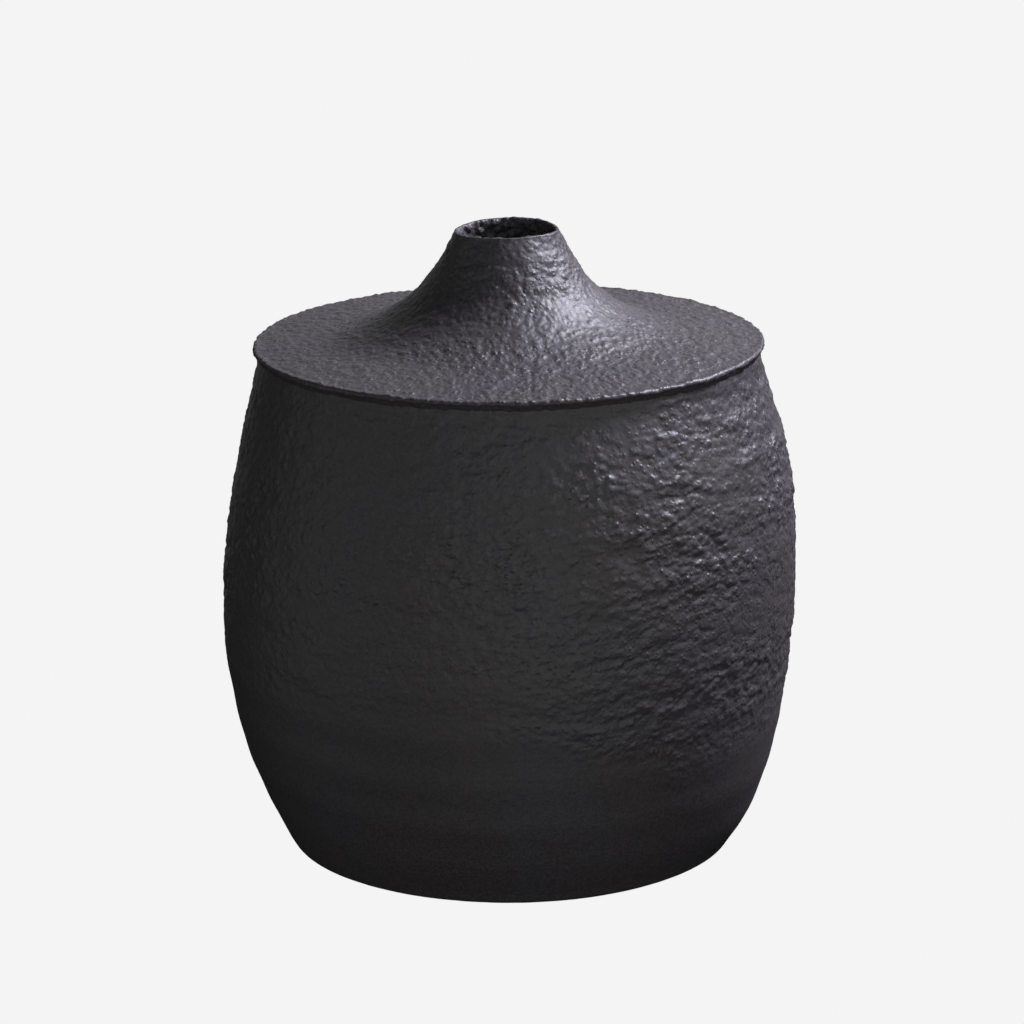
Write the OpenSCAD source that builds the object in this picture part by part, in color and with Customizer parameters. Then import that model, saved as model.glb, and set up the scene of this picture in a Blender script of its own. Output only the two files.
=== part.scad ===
// Black clay (barro negro) narrow-necked jar, as the potter builds it: a floor slab, a wall of
// pinched coils laid one on the other, a shoulder plate whose thin edge overhangs the wall,
// and a neck of three coils that ends in a thin lip. Millimetres, +Z up.
// The origin is on the ground, in the middle of the foot.

/* [Body] */
// Outside diameter at the belly, the widest place
belly_d = 240; // [228:1:260]
// Height of the widest place above the ground
belly_z = 112; // [100:1:126]
// Outside diameter of the foot, before its corner is rounded
foot_d = 184; // [160:1:200]
// Radius of the rounded corner round the foot
foot_round = 4; // [2:0.5:6]
// Thickness of the pinched wall
wall = 7; // [5:0.5:9]
// Extra thickness of the wall where it starts on the floor
wall_base_extra = 3; // [0:0.5:4]

/* [Coils] */
// Thickness of the floor slab
floor_t = 8; // [6:0.5:10]
// Number of coils in the wall
wall_coils = 10; // [7:1:12]
// Depth of the hollow that a smoothed seam leaves between two coils
seam_dip = 0.5; // [0:0.1:0.8]
// How much lower a seam lies on the inside than on the outside, because coils are bevelled
bevel_drop = 3; // [0:0.5:4]
// Radius of the small coil pressed into the corner between the floor and the wall
seam_coil_r = 8; // [5:0.5:10]

/* [Shoulder] */
// Height of the top of the wall, where the shoulder plate sits
wall_top_z = 208; // [198:1:218]
// Outside diameter of the wall at its top
wall_top_d = 207; // [200:1:208]
// Outside diameter of the shoulder plate's thin edge
rim_d = 210.8; // [210:0.2:214]
// How far the top of that edge is above the top of the wall
rim_rise = 6.3; // [5.5:0.1:8]
// Thickness of the edge
rim_t = 2.2; // [1.8:0.1:2.6]
// Diameter of the groove under the edge
groove_d = 203.8; // [202:0.2:206]
// Thickness of the shoulder plate
plate_t = 6.5; // [5:0.5:7.5]
// Slope of the shoulder plate, rising to the neck, in degrees
plate_slope = 6; // [4:0.5:7]

/* [Neck] */
// How far the lip is above the edge of the shoulder plate
neck_rise = 49.7; // [47:0.1:54]
// Diameter of the mouth
mouth_d = 41; // [36:1:46]
// Thickness of the lip
lip_t = 2; // [1.6:0.1:3]
// Slope of the neck's outside, in degrees from level
neck_slope = 62; // [58:1:66]
// Slope of the neck's inside, in degrees from level
throat_slope = 74; // [71:1:77]
// Radius of the flare from the neck out to the shoulder
flare_r = 60; // [54:1:62]

/* [Hidden] */
$fn = 180;
clay = [0.17, 0.16, 0.175];
coil_steps = 8;
arc_steps = 10;
nose_steps = 6;

belly_r = belly_d / 2;
rim_z = wall_top_z + rim_rise;
lip_z = rim_z + neck_rise;
coil_h = (wall_top_z - floor_t) / wall_coils;
// The wall is thicker from the floor up to this height
thick_z = 60;
// Shape of the wall under the belly: this share of its narrowing goes with the square of the
// depth below the belly, and the rest with its fifth power, which turns the foot in
square_share = 0.7;

// Where the seams of the neck lie, outside and inside: slopes on the flare, then heights
collar_seam = [10, 8];
neck_seam = [50, 60];
lip_seam_z = [lip_z - 8, lip_z - 10];

// A number from a to b in n even steps
function steps(a, b, n) = [for (i = [0 : n]) a + (b - a) * i / n];

// A list of points in the opposite order
function backwards(points) = [for (i = [len(points) - 1 : -1 : 0]) points[i]];

// Points on a circle round [r, z], from angle a to angle b
function arc(r, z, radius, a, b, n) =
    [for (t = steps(a, b, n)) [r + radius * cos(t), z + radius * sin(t)]];

// Depth below the belly as a share of the belly's height
function below(z) = (belly_z - z) / belly_z;

// Radius of the wall's outline, without the seams
function smooth_r(z) = z > belly_z
    ? belly_r - (belly_r - wall_top_d / 2) * pow((z - belly_z) / (wall_top_z - belly_z), 2)
    : belly_r - (belly_r - foot_d / 2)
        * (square_share * pow(below(z), 2) + (1 - square_share) * pow(below(z), 5));

// Radius of the wall's outside: each seam is a shallow hollow and each coil a faint swelling
function outer_r(z) = smooth_r(z) - seam_dip * pow(cos(180 * (z - floor_t) / coil_h), 2);

// Radius of the wall's inside
function inner_r(z) = smooth_r(z) - wall - wall_base_extra * pow(max(0, 1 - z / thick_z), 2);

// Height of seam i on the outside; seam 0 is on the floor and the last one is the wall's top
function seam_z(i) = floor_t + coil_h * i;

// Height of seam i on the inside: the first and last are level, the others are bevelled
function seam_in_z(i) = seam_z(i) - (i > 0 && i < wall_coils ? bevel_drop : 0);

// Angle below level at which the wall reaches the foot
foot_angle = atan(outer_r(1) - outer_r(0));
foot_touch_z = foot_round * (1 - sin(foot_angle));
foot_flat_r = outer_r(foot_touch_z) - foot_round * cos(foot_angle);

// The lip is a half-round nose, and both sides of the neck run down from it
lip_nose = [mouth_d / 2 + lip_t / 2, lip_z - lip_t / 2];

// The point on the lip's nose whose surface faces the angle a
function on_lip(a) = [lip_nose.x + lip_t / 2 * cos(a), lip_nose.y + lip_t / 2 * sin(a)];

lip_out_a = 90 - neck_slope;
lip_in_a = 90 + throat_slope;
lip_out = on_lip(lip_out_a);
lip_in = on_lip(lip_in_a);

// The edge of the shoulder plate is a nose too
rim_nose = [(rim_d - rim_t) / 2, rim_z - rim_t / 2];
rim_top_a = 90 - plate_slope;
rim_under_a = -62;
rim_top = [rim_nose.x + rim_t / 2 * cos(rim_top_a), rim_nose.y + rim_t / 2 * sin(rim_top_a)];
groove_z = wall_top_z + 2.6;

// The plate's inside is parallel to its top
plate_in = [rim_top.x, rim_top.y - plate_t / cos(plate_slope)];
plate_seat_r = inner_r(wall_top_z);

// Centre of the circle of this radius that touches two lines: one through the point low at
// low_slope, rising towards the axis, and one through the point high at high_slope
function flare_centre(low, low_slope, high, high_slope, radius) =
    let (
        tl = tan(low_slope),
        th = tan(high_slope),
        a = low.y + low.x * tl + radius / cos(low_slope),
        b = high.x + high.y / th + radius / sin(high_slope),
        r = (b - a / th) / (1 - tl / th)
    ) [r, a - r * tl];

// The inside flare is tighter, so the clay is thicker where the neck meets the plate
throat_flare_r = flare_r - 8;
flare_c = flare_centre(rim_top, plate_slope, lip_out, neck_slope, flare_r);
throat_c = flare_centre(plate_in, plate_slope, lip_in, throat_slope, throat_flare_r);

// Points on a flare where its surface has the slopes from a to b
function on_flare(c, radius, a, b) =
    [for (s = steps(a, b, arc_steps)) [c.x - radius * sin(s), c.y - radius * cos(s)]];

// Radius of the straight neck, outside and inside, at a height
function neck_r(z) = lip_out.x + (lip_out.y - z) / tan(neck_slope);
function throat_r(z) = lip_in.x + (lip_in.y - z) / tan(throat_slope);

module revolved(outline) {
    color(clay) rotate_extrude() polygon(outline);
}

// The disc that the jar stands on, with a rounded corner
module floor_slab() {
    corner = arc(foot_flat_r, foot_round, foot_round, -90, -foot_angle, nose_steps);
    side = [for (z = steps(foot_touch_z, floor_t, coil_steps)) if (z > foot_touch_z) [outer_r(z), z]];
    revolved(concat([[0, 0]], corner, side, [[0, floor_t]]));
}

// The small coil pressed into the inside corner, smoothed to a hollow curve that leaves the
// floor level and meets the wall along its slope
module seam_coil() {
    top_z = floor_t + seam_coil_r;
    corner = [inner_r(floor_t), floor_t];
    on_floor = corner - [seam_coil_r, 0];
    on_wall = [inner_r(top_z), top_z];
    against_wall = [for (z = steps(floor_t, top_z, coil_steps)) [inner_r(z), z]];
    hollow = [for (t = steps(0, 1, arc_steps))
        if (t < 1) pow(1 - t, 2) * on_floor + 2 * t * (1 - t) * corner + t * t * on_wall];
    revolved(concat(against_wall, backwards(hollow)));
}

// Coil i of the wall, from seam i - 1 up to seam i
module wall_coil(i) {
    outside = [for (z = steps(seam_z(i - 1), seam_z(i), coil_steps)) [outer_r(z), z]];
    inside = [for (z = steps(seam_in_z(i), seam_in_z(i - 1), coil_steps)) [inner_r(z), z]];
    revolved(concat(outside, inside));
}

// The flat ring that closes the body, with the thin edge that overhangs the wall
module shoulder_plate() {
    edge = arc(rim_nose.x, rim_nose.y, rim_t / 2, rim_under_a, rim_top_a, nose_steps);
    top = on_flare(flare_c, flare_r, plate_slope, collar_seam[0]);
    under = on_flare(throat_c, throat_flare_r, collar_seam[1], plate_slope);
    seat_z = plate_in.y + (plate_in.x - plate_seat_r) * tan(plate_slope);
    seat = [[plate_seat_r, seat_z], [plate_seat_r, wall_top_z]];
    groove = [[outer_r(wall_top_z), wall_top_z], [groove_d / 2, groove_z]];
    revolved(concat(groove, edge, top, under, seat));
}

// The coil that turns up from the plate into the neck
module neck_collar() {
    outside = on_flare(flare_c, flare_r, collar_seam[0], neck_seam[0]);
    inside = on_flare(throat_c, throat_flare_r, neck_seam[1], collar_seam[1]);
    revolved(concat(outside, inside));
}

// The coil of the neck's narrow part
module neck_coil() {
    outside = on_flare(flare_c, flare_r, neck_seam[0], neck_slope);
    seam = [[neck_r(lip_seam_z[0]), lip_seam_z[0]], [throat_r(lip_seam_z[1]), lip_seam_z[1]]];
    inside = on_flare(throat_c, throat_flare_r, throat_slope, neck_seam[1]);
    revolved(concat(outside, seam, inside));
}

// The last coil, pinched to a thin round lip
module lip_coil() {
    nose = arc(lip_nose.x, lip_nose.y, lip_t / 2, lip_out_a, lip_in_a, nose_steps);
    bottom = [[throat_r(lip_seam_z[1]), lip_seam_z[1]], [neck_r(lip_seam_z[0]), lip_seam_z[0]]];
    revolved(concat(nose, bottom));
}

floor_slab();
seam_coil();
for (i = [1 : wall_coils]) wall_coil(i);
shoulder_plate();
neck_collar();
neck_coil();
lip_coil();
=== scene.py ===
import math
from collections import defaultdict

import bpy
import numpy as np
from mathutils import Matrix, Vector


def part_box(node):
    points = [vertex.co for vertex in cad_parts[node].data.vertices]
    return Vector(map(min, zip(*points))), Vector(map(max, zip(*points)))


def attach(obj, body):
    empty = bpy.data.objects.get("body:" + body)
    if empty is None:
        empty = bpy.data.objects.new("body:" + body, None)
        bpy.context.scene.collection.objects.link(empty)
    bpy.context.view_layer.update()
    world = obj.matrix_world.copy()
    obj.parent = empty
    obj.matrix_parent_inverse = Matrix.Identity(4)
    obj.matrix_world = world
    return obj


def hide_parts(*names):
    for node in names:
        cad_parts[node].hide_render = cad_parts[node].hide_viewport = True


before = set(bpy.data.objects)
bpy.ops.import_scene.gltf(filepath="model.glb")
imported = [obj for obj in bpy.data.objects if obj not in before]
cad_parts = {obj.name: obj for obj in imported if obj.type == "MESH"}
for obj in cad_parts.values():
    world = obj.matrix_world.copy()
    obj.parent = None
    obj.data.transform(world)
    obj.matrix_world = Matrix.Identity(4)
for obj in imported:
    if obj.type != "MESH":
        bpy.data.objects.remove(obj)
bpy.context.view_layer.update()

# A hand-built jar of black fired clay. Each clay piece of the frame is replaced by a finely
# modelled one: the same section, turned round the axis, then given the lean, the dents, the
# coil marks and the grit of hand-built clay. Objects are in metres, in the frame's own axes,
# with -Y as the front. The surface is worked out in millimetres.

MM = 0.001
FLOOR_SLAB = "floor_slab"
BODY = "root"

# ---------------------------------------------------------------- heights read from the frame
BASE_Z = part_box(FLOOR_SLAB)[0].z
FLOOR_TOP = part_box(FLOOR_SLAB)[1].z
WALL_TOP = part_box("shoulder_plate")[0].z
PLATE_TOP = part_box("shoulder_plate")[1].z
RIM_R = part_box("shoulder_plate")[1].x
COLLAR_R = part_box("neck_collar")[1].x
LIP_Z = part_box("lip_coil")[1].z

MOUTH_Z = PLATE_TOP + 12 * MM   # above this the inside of the neck can be seen
COIL = round((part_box("wall_coil_1")[1].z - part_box("wall_coil_1")[0].z) / MM, 3)
COIL_TURN = 2 * math.pi / COIL  # COIL is a coil's height in mm, and a wave turns once in it

# ---------------------------------------------------------------- how finely it is modelled
# How far apart the rows of points lie along the section.
WALL_STEP = 0.56 * MM
DISC_STEP = 0.78 * MM
NECK_STEP = 0.45 * MM
EDGE_STEP = 0.35 * MM
INSIDE_STEP = 2.2 * MM
UNDERSIDE_STEP = 1.3 * MM
STEP_SLACK = 0.01             # this share of a step too much adds no row
BURIED_STEPS = 3              # a joint between two pieces is crossed in this many steps
THIN_CLAY = 6.3 * MM          # and one shorter than this in a single step

# How many segments a row has round the axis: the most, halved while they would be shorter
# than a limit.
SEGMENTS = 1408
FEWEST_SEGMENTS = 11          # what is left when the most has been halved seven times
SEGMENT_LIMIT = 0.355 * MM
NECK_LIMIT = 0.19 * MM        # near the mouth
INSIDE_LIMIT = 1.2 * MM       # inside the jar
BURIED_LIMIT = 2.4 * MM       # inside the clay

SAME = 0.03 * MM              # places nearer than this are the same place
SLOPE_REACH = 0.6             # mm each way over which the section's direction is taken


# ================================================================ noise
def hashed(ix, iy, iz, seed):
    """A repeatable 32-bit number for each lattice point, mixed by multiplying and shifting."""
    h = ix * np.uint32(0x8DA6B343) ^ iy * np.uint32(0xD8163841) ^ iz * np.uint32(0xCB1AB31F)
    h ^= np.uint32(seed * 0x9E3779B9 & 0xFFFFFFFF)
    for shift, factor in ((15, 0x2C1B3C6D), (12, 0x297A2D39)):
        h ^= h >> np.uint32(shift)
        h *= np.uint32(factor)
    return h ^ (h >> np.uint32(15))


def lattice(points, size):
    """Each point's lattice cell as unsigned whole numbers, and its place inside that cell."""
    scaled = points / np.asarray(size, np.float32)
    cell = np.floor(scaled)
    return cell.astype(np.int32).astype(np.uint32), (scaled - cell).astype(np.float32)


def gradient_noise(points, size, seed):
    """Smooth noise, about -1 to 1, with features as long as size (one length or three)."""
    cell, inside = lattice(points, size)
    fade = inside ** 3 * (inside * (inside * 6 - 15) + 10)
    total = np.zeros(len(points), np.float32)
    for corner in np.ndindex(2, 2, 2):
        step = np.array(corner, np.uint32)
        h = hashed(*(cell + step).T, seed)
        away = inside - step.astype(np.float32)
        dot = sum(
            away[:, axis] * (((h >> np.uint32(10 * axis)) & np.uint32(1023)) / np.float32(511.5) - 1)
            for axis in range(3)
        )
        weight = np.prod([fade[:, a] if corner[a] else 1 - fade[:, a] for a in range(3)], axis=0)
        total += weight * dot.astype(np.float32)
    return total * np.float32(1.5)


def cell_noise(points, size, seed):
    """The distance to the nearest of scattered points, in cells of the given size."""
    cell, inside = lattice(points, size)
    farther_than_any = 9
    nearest = np.full(len(points), farther_than_any, np.float32)
    for offset in np.ndindex(3, 3, 3):
        step = np.array(offset, np.int32) - 1
        h = hashed(*(cell + step.astype(np.uint32)).T, seed)
        away = np.zeros(len(points), np.float32)
        for axis in range(3):
            jitter = ((h >> np.uint32(10 * axis)) & np.uint32(1023)) / np.float32(1023)
            away += (step[axis] + jitter.astype(np.float32) - inside[:, axis]) ** 2
        nearest = np.minimum(nearest, away)
    return np.sqrt(nearest)


def smoothstep(low, high, value):
    """A value turned into a smooth rise from 0 at low to 1 at high."""
    t = np.clip((value - low) / (high - low), 0, 1)
    return t * t * (3 - 2 * t)


# ================================================================ sections
def section(node):
    """A node's outline at angle zero: a closed loop of (radius, height) points."""
    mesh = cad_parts[node].data
    seam = [
        (round(v.co.x, 6), round(v.co.z, 6)) if abs(v.co.y) < 1e-6 and v.co.x > -1e-6 else None
        for v in mesh.vertices
    ]
    links = defaultdict(set)
    for edge in mesh.edges:
        a, b = (seam[i] for i in edge.vertices)
        if a and b and a != b:
            links[a].add(b)
            links[b].add(a)
    start = min(links, key=lambda p: (len(links[p]), p))
    loop = [start]
    while True:
        onward = [p for p in links[loop[-1]] if p not in loop[-2:]]
        if not onward or onward[0] == start:
            break
        loop.append(onward[0])
    if node == FLOOR_SLAB:  # a full disc, so its outline closes along the axis
        loop = loop if loop[0][1] < loop[-1][1] else loop[::-1]
        loop += [(0.0, FLOOR_TOP), (0.0, BASE_Z)]
    return loop


def with_neighbours(loop, others):
    """The loop with the points of other loops that lie on its edges put in between."""
    full = []
    for a, b in zip(loop, loop[1:] + loop[:1]):
        a2, b2 = np.array(a), np.array(b)
        length = np.linalg.norm(b2 - a2)
        along = (others - a2) @ (b2 - a2) / length
        off = np.abs((others - a2) @ np.array([a2[1] - b2[1], b2[0] - a2[0]]) / length)
        found = (off < SAME) & (along > SAME) & (along < length - SAME)
        full.append(a)
        full += [tuple(others[i]) for i in np.flatnonzero(found)[np.argsort(along[found])]]
    return full


loops = {n: section(n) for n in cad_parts}
every_point = np.array(sorted({p for loop in loops.values() for p in loop}))
loops = {n: with_neighbours(loop, every_point) for n, loop in loops.items()}


def turned(loop):
    """The loop with the clay on its left, so that every normal points out of the clay."""
    twice_area = sum(a[0] * b[1] - b[0] * a[1] for a, b in zip(loop, loop[1:] + loop[:1]))
    return loop if twice_area > 0 else loop[::-1]


def edges_of(loop):
    """The loop's edges, without the one along the axis."""
    return [(a, b) for a, b in zip(loop, loop[1:] + loop[:1]) if a[0] > 0 or b[0] > 0]


loops = {n: turned(loop) for n, loop in loops.items()}
uses = defaultdict(int)
for loop in loops.values():
    for a, b in edges_of(loop):
        uses[frozenset((a, b))] += 1

# The skin is every edge that belongs to one piece only, chained from the middle of the foot,
# up the outside, over the lip and down the inside to the middle of the floor. The other
# edges are joints, where two pieces share the same face inside the clay.
onward = {}
for loop in loops.values():
    onward.update({a: b for a, b in edges_of(loop) if uses[frozenset((a, b))] == 1})
skin_corners = [(0.0, BASE_Z)]
while skin_corners[-1] != (0.0, FLOOR_TOP):
    skin_corners.append(onward[skin_corners[-1]])
top_corner = max(range(len(skin_corners)), key=lambda i: skin_corners[i][1])


def skin_step(a, b, outside):
    """How far apart the rows of the mesh lie on the skin between two corners."""
    if not outside:
        return EDGE_STEP * 2 if a[1] > MOUTH_Z else INSIDE_STEP
    if max(a[1], b[1]) < BASE_Z + SAME:
        return UNDERSIDE_STEP
    if math.dist(a, b) < 2 * EDGE_STEP:
        return EDGE_STEP if a[1] > MOUTH_Z else EDGE_STEP * 1.5
    if a[1] < WALL_TOP:
        return WALL_STEP
    return DISC_STEP if a[0] > COLLAR_R else NECK_STEP


# ================================================================ rows of points
# Each row is a ring of points round the axis: first the skin's, then the ones in the joints.
row_r, row_z, row_limit = [], [], []


def add_row(r, z, limit):
    """One more row, and its number."""
    row_r.append(r)
    row_z.append(z)
    row_limit.append(limit)
    return len(row_r) - 1


corner_row = {}
for i, (a, b) in enumerate(zip(skin_corners, skin_corners[1:])):
    outside = i < top_corner
    steps = max(1, math.ceil(math.dist(a, b) / skin_step(a, b, outside) - STEP_SLACK))
    limit = NECK_LIMIT if a[1] > MOUTH_Z else SEGMENT_LIMIT if outside else INSIDE_LIMIT
    corner_row[a] = len(row_r)
    for t in np.arange(steps) / steps:
        add_row(a[0] + (b[0] - a[0]) * t, a[1] + (b[1] - a[1]) * t, limit)
corner_row[skin_corners[-1]] = add_row(*skin_corners[-1], INSIDE_LIMIT)
skin_rows = len(row_r)
joint_rows = {}
for edge in sorted(tuple(sorted(e)) for e, count in uses.items() if count > 1):
    for p in edge:
        if p not in corner_row:
            corner_row[p] = add_row(*p, BURIED_LIMIT)
    a, b = np.array(edge)
    steps = BURIED_STEPS if math.dist(a, b) > THIN_CLAY else 1
    between = [a + (b - a) * t / steps for t in range(1, steps)]
    joint_rows[edge] = [add_row(*p, BURIED_LIMIT) for p in between]


def row_path(a, b):
    """The rows from one corner of a loop to the next, without the last."""
    if uses[frozenset((a, b))] == 1:
        return list(range(corner_row[a], corner_row[b]))
    inner = joint_rows[tuple(sorted((a, b)))]
    return [corner_row[a]] + (inner if a < b else inner[::-1])


node_rows = {}
for node, loop in loops.items():
    rows = [i for a, b in edges_of(loop) for i in row_path(a, b)]
    node_rows[node] = rows + [corner_row[edges_of(loop)[-1][1]]]

row_r, row_z = np.array(row_r), np.array(row_z)
row_count = np.ones(len(row_r), int)
for i in np.flatnonzero(row_r > 0):
    row_count[i] = SEGMENTS
    while row_count[i] > FEWEST_SEGMENTS and 2 * math.pi * row_r[i] / row_count[i] < row_limit[i]:
        row_count[i] //= 2
settled = False
while not settled:  # neighbouring rows differ by one halving at most
    settled = True
    for rows in node_rows.values():
        for i, j in zip(rows + rows[::-1], rows[1:] + rows[-2::-1]):
            if row_r[j] > 0 and row_count[j] < row_count[i] // 2:
                row_count[j] = row_count[i] // 2
                settled = False
row_start = np.concatenate([[0], np.cumsum(row_count)])

angle = np.concatenate([np.arange(n) * (2 * math.pi / n) for n in row_count])
point_row = np.repeat(np.arange(len(row_r)), row_count)
around = np.stack([np.cos(angle), np.sin(angle)], 1)
base = np.column_stack([around * row_r[point_row, None], row_z[point_row]])

# ================================================================ the surface, in millimetres
skin = point_row < skin_rows
skin_points = np.flatnonzero(skin)
skin_row = point_row[skin]
section_line = np.stack([row_r[:skin_rows], row_z[:skin_rows]], 1)
row_gaps = np.linalg.norm(np.diff(section_line, axis=0), axis=1)
skin_s = np.concatenate([[0], np.cumsum(row_gaps)]) / MM
ahead, behind = (
    np.stack([np.interp(skin_s + step, skin_s, line) for line in section_line.T], 1)
    for step in (SLOPE_REACH, -SLOPE_REACH)
)
tangent = (ahead - behind) / np.linalg.norm(ahead - behind, axis=1)[:, None]
outward = np.column_stack([around[skin] * tangent[skin_row, 1, None], -tangent[skin_row, 0]])


def s_at(r, z):
    """How far along the skin the outside passes nearest to a radius and height."""
    upto = corner_row[skin_corners[top_corner]]
    return skin_s[np.argmin(np.hypot(row_r[:upto] - r, row_z[:upto] - z))]


# Places along the skin, in millimetres from the middle of the foot.
S_FOOT = s_at(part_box(FLOOR_SLAB)[1].x, BASE_Z + 4 * MM)    # the top of the foot's corner
S_SHADOW = s_at(RIM_R - 3 * MM, WALL_TOP - 3 * MM)         # just under the shoulder's edge
S_RIM = s_at(RIM_R, WALL_TOP + 3 * MM)                     # that edge
S_DISC = s_at(RIM_R - 4 * MM, PLATE_TOP - 4 * MM)          # the flat shoulder inside it
S_FLARE = s_at(COLLAR_R * 0.8, PLATE_TOP)                  # where the shoulder turns up
S_NECK = s_at(COLLAR_R * 0.6, MOUTH_Z)                     # where the neck is steep
S_LIP = skin_s[corner_row[skin_corners[top_corner]]]       # the top of the lip
S_THROAT = S_LIP + 14                                      # inside, a little below the lip


def along(*stops):
    """A strength that changes in straight steps along the skin, for every point on it."""
    places, values = zip(*stops)
    return np.interp(skin_s, places, values)[skin_row].astype(np.float32)


mm = (base[skin] / MM).astype(np.float32)
height = mm[:, 2]


def grit(points, size, seed):
    """Grains standing out of the clay: 1 on top of one, 0 in the hollows between them."""
    return 1 - smoothstep(0.05, 0.75, cell_noise(points, size, seed))


# Where each kind of surface is, from 0 to 1. Where two meet, one fades into the other.
WALL = along((S_FOOT - 8, 0), (S_FOOT, 1), (S_SHADOW, 1), (S_RIM - 2, 0.3), (S_RIM, 0))
DISC = along((S_RIM - 2, 0), (S_RIM, 0.7), (S_DISC, 1), (S_FLARE, 1), (S_NECK, 0))
NECK = along(
    (S_FLARE, 0), (S_NECK, 1), (S_LIP - 1.5, 1), (S_LIP, 0.45), (S_THROAT, 0.6),
    (S_THROAT + 12, 0),
)
THROAT = along((S_LIP, 0), (S_LIP + 1, 1), (S_THROAT + 8, 1), (S_THROAT + 20, 0))
INSIDE = along((S_LIP, 0), (S_THROAT, 0.4), (S_THROAT + 15, 1))
UNDERSIDE = along((S_FOOT - 12, 1), (S_FOOT - 5, 0))
PLAIN = -0.6    # mm: all the roughness starts this far inside the plain surface

# Patterns that several surfaces share. The sizes are in mm: across, across and upwards.
patches = smoothstep(-0.35, 0.35, gradient_noise(mm, (26, 26, 17), 21))
sand = grit(mm, (1.9, 1.9, 1.5), 31)
grains = grit(mm, (3.0, 3.0, 2.4), 36)
pebbles = grit(mm, (5.2, 5.2, 3.8), 37)
knobs = gradient_noise(mm, (2.6, 2.6, 2.0), 33)
lumps = gradient_noise(mm, (5.2, 5.2, 3.6), 34)
swells = gradient_noise(mm, (13, 13, 8), 35)
dents = gradient_noise(mm, (60, 60, 42), 52)


def scraping(waver):
    """How much of the roughness the potter's scraping left, from 0 to 1: nearly none low on
    the wall, and less under the shoulder and on the left side than on the right."""
    start = 44 + 22 * (1 - smoothstep(-10, 70, mm[:, 0]))
    left = 0.06 + 0.94 * smoothstep(start, start + 46, height + waver)
    left *= 1 - 0.22 * smoothstep(150, 190, height)
    left *= 0.65 + 0.35 * smoothstep(-70, 45, mm[:, 0] + waver)
    return left


def wall_surface():
    """The wall's height in mm over the plain surface, and how coarse it is."""
    waves = gradient_noise(mm, (15, 15, 6), 41)
    scratches = smoothstep(0.3, 0.6, gradient_noise(mm, (22, 22, 1.7), 43))
    crest = FLOOR_TOP / MM + COIL / 2
    coil = np.cos((height - crest) * COIL_TURN + 1.3 * gradient_noise(mm, (90, 90, 60), 51))
    scraped = scraping(14 * gradient_noise(mm, (50, 50, 30), 45))
    coarse = scraped * (0.6 + 0.4 * patches)
    rough = (
        0.08 * sand + 0.42 * grains + 0.72 * pebbles + 0.06 * knobs + 0.34 * lumps
        + 0.10 * scratches * patches + 0.65 * waves
    )
    stand_out = PLAIN + coarse * rough + 0.34 * scraped * swells - 0.12 * coil + 0.4 * dents
    return stand_out, coarse


def shoulder_surface():
    """The shoulder's height over the plain surface, and how much lighter its grains are coloured,
    partly for their polish and partly as painted shade in the hollows between them. It was
    patted from one side, which drew its grains out a little towards the front."""
    flat = np.flatnonzero(DISC > 0)
    flat_grains, flat_pebbles = sand * 0, sand * 0
    flat_grains[flat] = grit(mm[flat], (2.4, 3.5, 2.4), 38)
    flat_pebbles[flat] = grit(mm[flat], (4.4, 6.2, 4.4), 39)
    stand_out = (
        PLAIN + 0.06 * sand + 0.36 * flat_grains + 0.42 * flat_pebbles + 0.08 * knobs
        + 0.10 * lumps + 0.15 * swells + 0.4 * dents
    )
    return stand_out, sand + 1.6 * flat_grains + 1.0 * flat_pebbles


def neck_surface():
    """The neck's height in mm over the plain surface."""
    return (
        PLAIN + 0.05 * sand + 0.27 * grains + 0.46 * pebbles * patches + 0.05 * knobs
        + 0.12 * lumps + 0.35 * swells
    )


def inside_surface():
    """The inside's height in mm over the plain surface: coils that were only smoothed with
    the fingers."""
    return (
        0.35 * np.cos(height * COIL_TURN) + 0.8 * gradient_noise(mm, (30, 30, 9), 55)
        + 0.4 * gradient_noise(mm, 7, 56)
    )


def edges():
    """A thick soft rim with clay pressed in under it, and a foot a little slimmer than the
    plain shape, with a fuller corner on the left."""
    rim = along((S_RIM - 6, 0), (S_RIM - 3, 1), (S_RIM + 1, 1), (S_RIM + 5, 0))
    under_rim = along(
        (S_RIM - 16, 0), (S_RIM - 10, 0.35), (S_RIM - 6.5, 1), (S_RIM - 2.5, 1), (S_RIM, 0),
    )
    corner = along((S_FOOT - 4, 0), (S_FOOT, 1), (S_FOOT + 6, 1), (S_FOOT + 14, 0))
    low = along((S_FOOT, 0.2), (S_FOOT + 12, 1), (S_FOOT + 30, 1), (S_FOOT + 50, 0))
    stand_out = rim * (0.4 + 0.35 * grains + 0.4 * swells) + 1.2 * under_rim - 0.35 * low
    return stand_out + 0.4 * corner * smoothstep(10, 70, -mm[:, 0])


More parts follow.
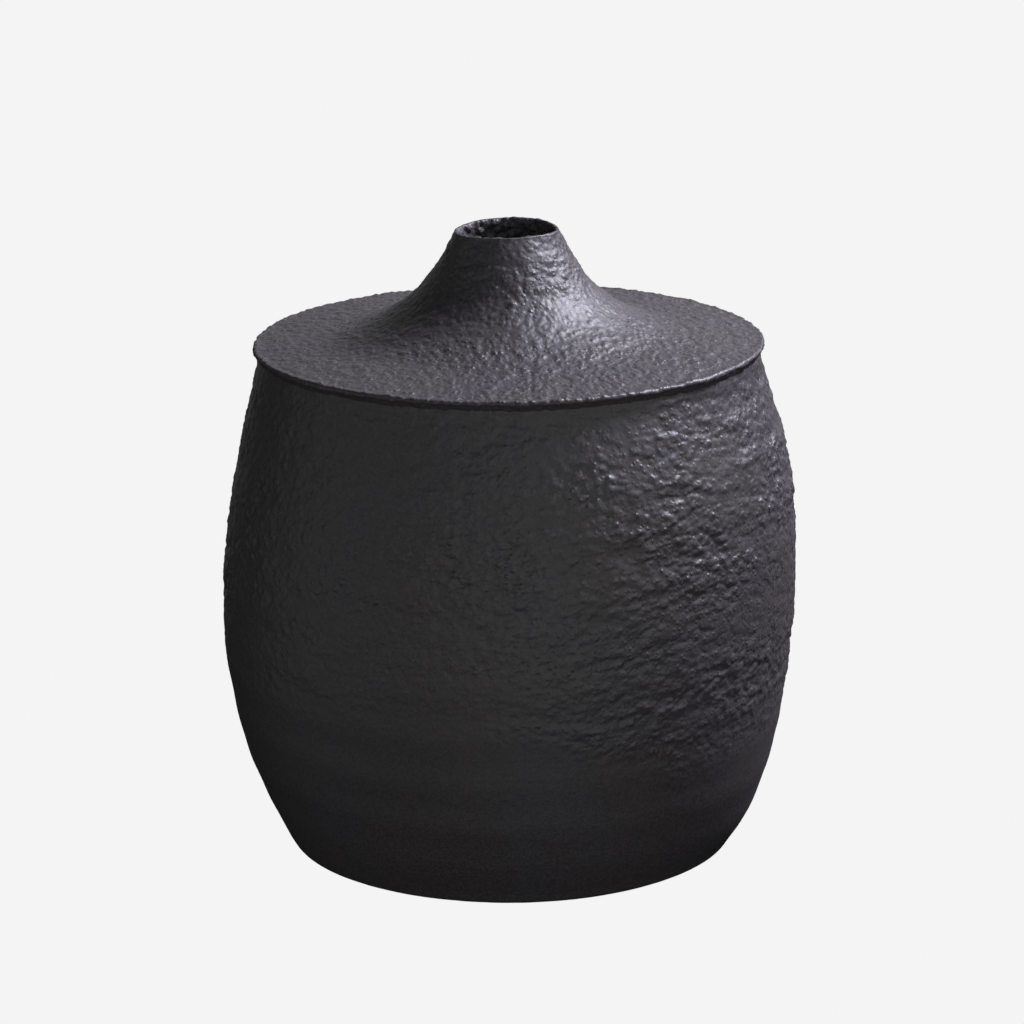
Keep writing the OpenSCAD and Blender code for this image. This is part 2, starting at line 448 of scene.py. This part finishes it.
def relief():
    """How far every skin point stands out from the plain turned surface, how much lighter its
    colour is made, and how gritty the clay is there. The colour is lighter on the grit that
    stands out, partly for its polish and partly as painted shade in the hollows, and lighter
    all over deeper inside the jar."""
    wall, coarse = wall_surface()
    shoulder, shoulder_light = shoulder_surface()
    thicker = along((S_LIP, 0), (S_LIP + 2, 0.9), (S_THROAT, 3.4), (S_THROAT + 14, 0))
    worn = np.abs(0.5 * gradient_noise(mm, 14, 57) + 0.2 * gradient_noise(mm, 3, 58))

    stand_out = WALL * wall + DISC * shoulder + NECK * neck_surface()
    stand_out += INSIDE * inside_surface()
    stand_out += THROAT * (0.6 * grains + 0.8 * pebbles + 0.2 * knobs - 0.4) + thicker
    stand_out += edges() - UNDERSIDE * worn

    # Painted shade: the colour is made lighter on the grit that stands out and darker in the hollows
    # between the grains, partly for the grit's polish and partly as shade painted into the pits.
    light = WALL * coarse * (sand + 1.6 * grains + 1.2 * pebbles) + 0.6 * DISC * shoulder_light
    light += 0.5 * (NECK + THROAT) * (sand + 1.6 * grains) + 0.5 * INSIDE
    gritty = 0.85 * WALL * coarse + 0.7 * DISC + NECK * (0.2 + 0.4 * patches) + THROAT
    return stand_out, light, gritty


# The slow bends, in mm. LEAN is the shift to the right by height, and SLIM is how far the neck
# stands inside its plain shape, by height. The tilts are the rise for each mm to the right,
# and for the disc also for each mm to the back.
LEAN = (
    (0, 0.6), (10, 1.2), (19, 1.1), (45, 0.2), (84, -0.9), (110, 0.2), (145, 1.1), (162, 1.8),
    (180, 1.5), (201, 0.1), (214, -0.2), (226, -1), (264, -1),
)
SLIM = ((221, 0), (227, 0.7), (232, 1.6), (239, 1.9), (249, 1.05), (257, 0.55), (264, 0.35))
DISC_TILT = (0.012, 0.001)
LIP_TILT = 0.03
LIP_DROP = 2.25             # how far the lip is below its plain height
LIP_SAG = 0.9               # and how much more where it is LIP_SAG_AT from the middle
LIP_SAG_AT = 22
FOOT_RISE = 0.7             # how far the foot's right-hand edge is off the ground
DISC_HEIGHTS = (196, 214)   # the disc's tilt grows between these heights
LIP_HEIGHTS = (238, 262)    # and gives way to the lip's between these
WIDEST = 119.85             # the radius that no point passes
WIDEST_EASE = 1             # how far inside it the points start to be drawn in


def warped(points):
    """The whole jar's slow bends, for points of the skin and of the joints alike."""
    p = (points / MM).astype(np.float32)
    x, y, z = p.T
    lip = smoothstep(*LIP_HEIGHTS, z)
    disc = smoothstep(*DISC_HEIGHTS, z) * (1 - lip)
    low_right = (1 - smoothstep(0, 25, z)) * smoothstep(0, 80, x)
    level = np.column_stack([x, y, np.full(len(p), 7, np.float32)])
    upright = np.column_stack([z * 0, z * 0, z])
    from_axis = np.hypot(x, y)
    out = p.copy()

    slim = np.interp(z, *zip(*SLIM)) * smoothstep(0, 12, from_axis)
    out[:, :2] *= (1 - slim / np.maximum(from_axis, 1))[:, None]
    out[:, 0] += np.interp(z, *zip(*LEAN))
    out[:, 1] += 1.1 * gradient_noise(upright, 70, 71)
    out[:, 2] += disc * (DISC_TILT[0] * x + DISC_TILT[1] * y + 0.5 * gradient_noise(level, 75, 72))
    sag = LIP_DROP + (x / LIP_SAG_AT) ** 2 * LIP_SAG
    out[:, 2] += lip * (LIP_TILT * x - sag + 0.25 * gradient_noise(level, 17, 73))
    out[:, 2] += FOOT_RISE * low_right
    return out * MM


def held_inside(points):
    """The points with none wider than the widest radius, or lower than the ground."""
    points = points.copy()
    radius = np.hypot(points[:, 0], points[:, 1])
    ease = WIDEST_EASE * MM
    easy = WIDEST * MM - ease
    limited = np.where(radius > easy, easy + ease * np.tanh((radius - easy) / ease), radius)
    points[:, :2] *= (limited / np.maximum(radius, MM))[:, None]
    points[:, 2] = np.maximum(points[:, 2], BASE_Z)
    return points


moved = warped(base)
stand_out, light, gritty = relief()
moved[skin_points] += outward * (stand_out * MM)[:, None]
moved = held_inside(moved)


# ================================================================ faces
def stitched(i, j):
    """The faces between two neighbouring rings: triangles, and four-sided where they match."""
    n, m = row_count[i], row_count[j]
    a, b = row_start[i], row_start[j]
    k = np.arange(min(n, m) if min(n, m) > 1 else max(n, m))
    if n == m:
        return None, np.stack([a + k, a + (k + 1) % n, b + (k + 1) % n, b + k], 1)
    if n == 1:
        return np.stack([a + 0 * k, b + (k + 1) % m, b + k], 1), None
    if m == 1:
        return np.stack([a + k, a + (k + 1) % n, b + 0 * k], 1), None
    if n == 2 * m:
        corners = [
            (a + 2 * k, a + 2 * k + 1, b + k),
            (a + 2 * k + 1, b + (k + 1) % m, b + k),
            (a + 2 * k + 1, a + (2 * k + 2) % n, b + (k + 1) % m),
        ]
    else:
        corners = [
            (a + k, b + 2 * k + 1, b + 2 * k),
            (a + k, a + (k + 1) % n, b + 2 * k + 1),
            (a + (k + 1) % n, b + (2 * k + 2) % m, b + 2 * k + 1),
        ]
    return np.concatenate([np.stack(c, 1) for c in corners]), None


def faces_of(pairs):
    """All faces between the given pairs of rows, as one array of triangles and one of quads."""
    found = [stitched(i, j) for i, j in pairs]
    triangles = [t for t, _ in found if t is not None] or [np.zeros((0, 3), int)]
    quads = [q for _, q in found if q is not None] or [np.zeros((0, 4), int)]
    return np.concatenate(triangles), np.concatenate(quads)


def face_normals(faces):
    """The normals of triangles or four-sided faces, as long as twice their area."""
    p = moved[faces]
    return np.cross(p[:, 2] - p[:, 0], p[:, -1] - p[:, 1])


def at_length_one(vectors):
    """The vectors with their directions kept and their lengths made one."""
    return vectors / np.maximum(np.linalg.norm(vectors, axis=1), 1e-20)[:, None]


# Normals over the whole skin at once, so that the light runs smoothly across the joints.
normals = np.zeros_like(moved)
for faces in faces_of((i, i + 1) for i in range(skin_rows - 1)):
    face_normal = face_normals(faces)
    for corner in faces.T:
        for axis in range(3):
            normals[:, axis] += np.bincount(corner, face_normal[:, axis], len(moved))
normals = at_length_one(normals)

# What the material reads at each point: how much lighter the colour is made, partly for the
# grit's polish and partly as painted shade in the hollows, and how gritty.
point_values = {"relief": np.full(len(moved), 0.2), "grit": np.zeros(len(moved))}
point_values["relief"][skin_points] = np.clip(0.15 + 0.45 * light, 0, 1)
point_values["grit"][skin_points] = np.clip(gritty, 0, 1)


def clay_piece(node, material):
    """The piece that replaces a node: its own closed mesh, smooth outside, flat in the joints."""
    pairs = list(zip(node_rows[node], node_rows[node][1:]))
    on_skin = [j == i + 1 and j < skin_rows for i, j in pairs]
    corners, starts, corner_normals = [], [], []
    total = 0
    for wanted in (True, False):
        for faces in faces_of(pair for pair, s in zip(pairs, on_skin) if s == wanted):
            size = faces.shape[1]
            corners.append(faces.ravel())
            starts.append(total + np.arange(len(faces)) * size)
            total += faces.size
            flat = np.repeat(at_length_one(face_normals(faces)), size, 0)
            corner_normals.append(normals[faces.ravel()] if wanted else flat)
    used, corners = np.unique(np.concatenate(corners), return_inverse=True)
    starts = np.concatenate(starts)

    mesh = bpy.data.meshes.new(node + "_clay")
    mesh.vertices.add(len(used))
    mesh.vertices.foreach_set("co", moved[used].astype(np.float32).ravel())
    mesh.loops.add(len(corners))
    mesh.loops.foreach_set("vertex_index", corners.astype(np.int32).ravel())
    mesh.polygons.add(len(starts))
    mesh.polygons.foreach_set("loop_start", starts.astype(np.int32))
    mesh.update(calc_edges=True)
    for name, values in point_values.items():
        layer = mesh.attributes.new(name, "FLOAT", "POINT")
        layer.data.foreach_set("value", values[used].astype(np.float32))
    mesh.normals_split_custom_set(np.concatenate(corner_normals).astype(np.float32))
    mesh.materials.append(material)

    piece = bpy.data.objects.new(node + "_clay", mesh)
    bpy.context.collection.objects.link(piece)
    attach(piece, BODY)
    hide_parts(node)
    return piece


# ================================================================ materials
def nodes_of(material):
    """The material's node tree and its shader."""
    material.use_nodes = True
    tree = material.node_tree
    return tree, tree.nodes["Principled BSDF"]


def noise_node(tree, coordinates, scale, detail, roughness=0.5):
    """Smooth noise from 0 to 1, with scale features to the metre."""
    node = tree.nodes.new("ShaderNodeTexNoise")
    node.inputs["Scale"].default_value = scale
    node.inputs["Detail"].default_value = detail
    node.inputs["Roughness"].default_value = roughness
    tree.links.new(coordinates, node.inputs["Vector"])
    return node.outputs["Fac"]


def nearest_node(tree, coordinates, scale):
    """The distance to the nearest of scattered points, in cells, with scale cells to the
    metre."""
    node = tree.nodes.new("ShaderNodeTexVoronoi")
    node.inputs["Scale"].default_value = scale
    tree.links.new(coordinates, node.inputs["Vector"])
    return node.outputs["Distance"]


def attribute_node(tree, name):
    """A value that clay_piece stored on the mesh."""
    node = tree.nodes.new("ShaderNodeAttribute")
    node.attribute_name = name
    return node.outputs["Fac"]


def ramp_node(tree, value, *stops):
    """A value turned into a colour, which changes smoothly between two stops."""
    node = tree.nodes.new("ShaderNodeValToRGB")
    ramp = node.color_ramp
    ramp.interpolation = "EASE"
    while len(ramp.elements) < len(stops):
        ramp.elements.new(0.5)
    for element, (place, colour) in zip(ramp.elements, stops):
        element.position = place
        element.color = (*colour, 1)
    tree.links.new(value, node.inputs["Fac"])
    return node.outputs["Color"]


def maths(tree, operation, a, b):
    """Two numbers or sockets added, multiplied or the like."""
    node = tree.nodes.new("ShaderNodeMath")
    node.operation = operation
    for socket, value in zip(node.inputs, (a, b)):
        if isinstance(value, (int, float)):
            socket.default_value = value
        else:
            tree.links.new(value, socket)
    return node.outputs["Value"]


def mixed(tree, factor, a, b, mode="MIX"):
    """Two colours mixed, or the first multiplied by the second."""
    node = tree.nodes.new("ShaderNodeMix")
    node.data_type = "RGBA"
    node.blend_type = mode
    colour_a, colour_b = node.inputs[6], node.inputs[7]
    for socket, value in ((node.inputs["Factor"], factor), (colour_a, a), (colour_b, b)):
        if isinstance(value, (int, float)):
            socket.default_value = value
        elif isinstance(value, tuple):
            socket.default_value = (*value, 1)
        else:
            tree.links.new(value, socket)
    return node.outputs[2]    # the colour result


def black_clay():
    """Smoke-fired clay: near black and satin, glossier on the grit that stands out and dull in the
    pits. Its colour is lighter on that grit and darker in the pits: partly the grit's polish,
    partly painted shade in the hollows.
    """
    material = bpy.data.materials.new("black_clay_fired")
    tree, shader = nodes_of(material)
    place = tree.nodes.new("ShaderNodeTexCoord").outputs["Object"]
    polish_and_hollow_shade = attribute_node(tree, "relief")

    clouds = noise_node(tree, place, scale=22, detail=3)
    specks = noise_node(tree, place, scale=900, detail=3, roughness=0.6)
    tint = ramp_node(tree, clouds, (0.38, (0.035, 0.031, 0.031)), (0.62, (0.034, 0.031, 0.035)))
    # Painted shade: lighter on the grit that stands out and darker in the hollows, partly polish and
    # partly shade painted into the pits.
    lighter = mixed(tree, maths(tree, "MULTIPLY", polish_and_hollow_shade, 0.5), tint, (0.046, 0.041, 0.047))
    grain = ramp_node(tree, specks, (0.3, (0.75, 0.75, 0.75)), (0.7, (1.2, 1.2, 1.2)))
    colour = mixed(tree, 1.0, lighter, grain, "MULTIPLY")
    tree.links.new(colour, shader.inputs["Base Color"])

    gloss = maths(tree, "ADD", maths(tree, "MULTIPLY", specks, 0.2), 0.47)
    gloss = maths(tree, "SUBTRACT", gloss, maths(tree, "MULTIPLY", polish_and_hollow_shade, 0.1))
    tree.links.new(gloss, shader.inputs["Roughness"])

    white, black = (1, 1, 1), (0, 0, 0)
    pores = noise_node(tree, place, scale=1500, detail=4, roughness=0.62)
    pores = maths(tree, "MULTIPLY", pores, 0.25)
    coarse, fine = (
        ramp_node(tree, nearest_node(tree, place, scale), (0.06, white), (0.44, black))
        for scale in (430, 760)
    )
    grains = maths(
        tree, "ADD", maths(tree, "MULTIPLY", coarse, 1.2), maths(tree, "MULTIPLY", fine, 0.3)
    )
    grains = maths(tree, "MULTIPLY", grains, attribute_node(tree, "grit"))
    height = maths(tree, "ADD", pores, grains)
    bump = tree.nodes.new("ShaderNodeBump")
    bump.inputs["Strength"].default_value = 1
    bump.inputs["Distance"].default_value = 0.25 * MM
    tree.links.new(height, bump.inputs["Height"])
    tree.links.new(bump.outputs["Normal"], shader.inputs["Normal"])
    return material


clay = black_clay()
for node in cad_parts:
    clay_piece(node, clay)

# ================================================================ floor, light and camera
PALE = 0.905                # how bright the floor and the surround look
FLOOR_HALF = 30.0
CAMERA_ELEVATION = math.radians(15.26)
CAMERA_DISTANCE = 2.0
CAMERA_LENS = 168.5
CAMERA_AIM = Vector((1.2 * MM, 0, 0.532 * LIP_Z))
FARTHEST_SEEN = 100
COOL_WHITE = (0.99, 0.98, 1.14)


def pale_floor():
    """A floor that looks evenly pale, takes no shadow and throws no light on the jar."""
    mesh = bpy.data.meshes.new("floor")
    corners = [(x * FLOOR_HALF, y * FLOOR_HALF, 0) for x, y in ((-1, -1), (1, -1), (1, 1), (-1, 1))]
    mesh.from_pydata(corners, [], [(0, 1, 2, 3)])
    floor = bpy.data.objects.new("floor", mesh)
    bpy.context.collection.objects.link(floor)
    material = bpy.data.materials.new("pale_floor")
    _, shader = nodes_of(material)
    shader.inputs["Base Color"].default_value = (0, 0, 0, 1)
    shader.inputs["Specular IOR Level"].default_value = 0
    shader.inputs["Emission Color"].default_value = (PALE, PALE, PALE, 1)
    shader.inputs["Emission Strength"].default_value = 1
    mesh.materials.append(material)
    floor.visible_diffuse = False
    floor.visible_glossy = False
    floor.visible_shadow = False


def studio():
    """A pale surround that only the camera sees."""
    world = bpy.data.worlds.new("studio")
    world.use_nodes = True
    background = world.node_tree.nodes["Background"]
    background.inputs["Color"].default_value = (PALE, PALE, PALE, 1)
    world.cycles_visibility.diffuse = False
    world.cycles_visibility.glossy = False
    bpy.context.scene.world = world
    bpy.context.scene.view_settings.view_transform = "Standard"


def soft_light(name, azimuth, elevation, distance, size, power, colour=(1, 1, 1)):
    """A square panel facing the jar. Azimuth 0 is the front, 90 the right."""
    a, e = math.radians(azimuth), math.radians(elevation)
    aim = Vector((0, 0, LIP_Z * 0.5))
    away = Vector((math.sin(a) * math.cos(e), -math.cos(a) * math.cos(e), math.sin(e)))
    light = bpy.data.lights.new(name, "AREA")
    light.shape = "SQUARE"
    light.size = size
    light.energy = power
    light.color = colour
    holder = bpy.data.objects.new(name, light)
    holder.location = aim + away * distance
    holder.rotation_euler = away.to_track_quat("Z", "Y").to_euler()
    bpy.context.collection.objects.link(holder)


def camera():
    """A long lens, looking down a little from the front."""
    away = Vector((0, -math.cos(CAMERA_ELEVATION), math.sin(CAMERA_ELEVATION)))
    lens = bpy.data.cameras.new("camera")
    lens.lens = CAMERA_LENS
    lens.clip_end = FARTHEST_SEEN
    holder = bpy.data.objects.new("camera", lens)
    holder.location = CAMERA_AIM + away * CAMERA_DISTANCE
    holder.rotation_euler = away.to_track_quat("Z", "Y").to_euler()
    bpy.context.collection.objects.link(holder)
    bpy.context.scene.camera = holder


pale_floor()
studio()
soft_light("key", azimuth=111, elevation=47, distance=1.5, size=0.45, power=52, colour=COOL_WHITE)
soft_light("front", azimuth=10, elevation=3, distance=2.5, size=3.5, power=28)
soft_light("left", azimuth=-70, elevation=3, distance=2.5, size=3.5, power=14.5)
soft_light("back", azimuth=180, elevation=20, distance=2.5, size=3.5, power=13)
soft_light("right", azimuth=60, elevation=10, distance=1.5, size=0.6, power=3)
camera()
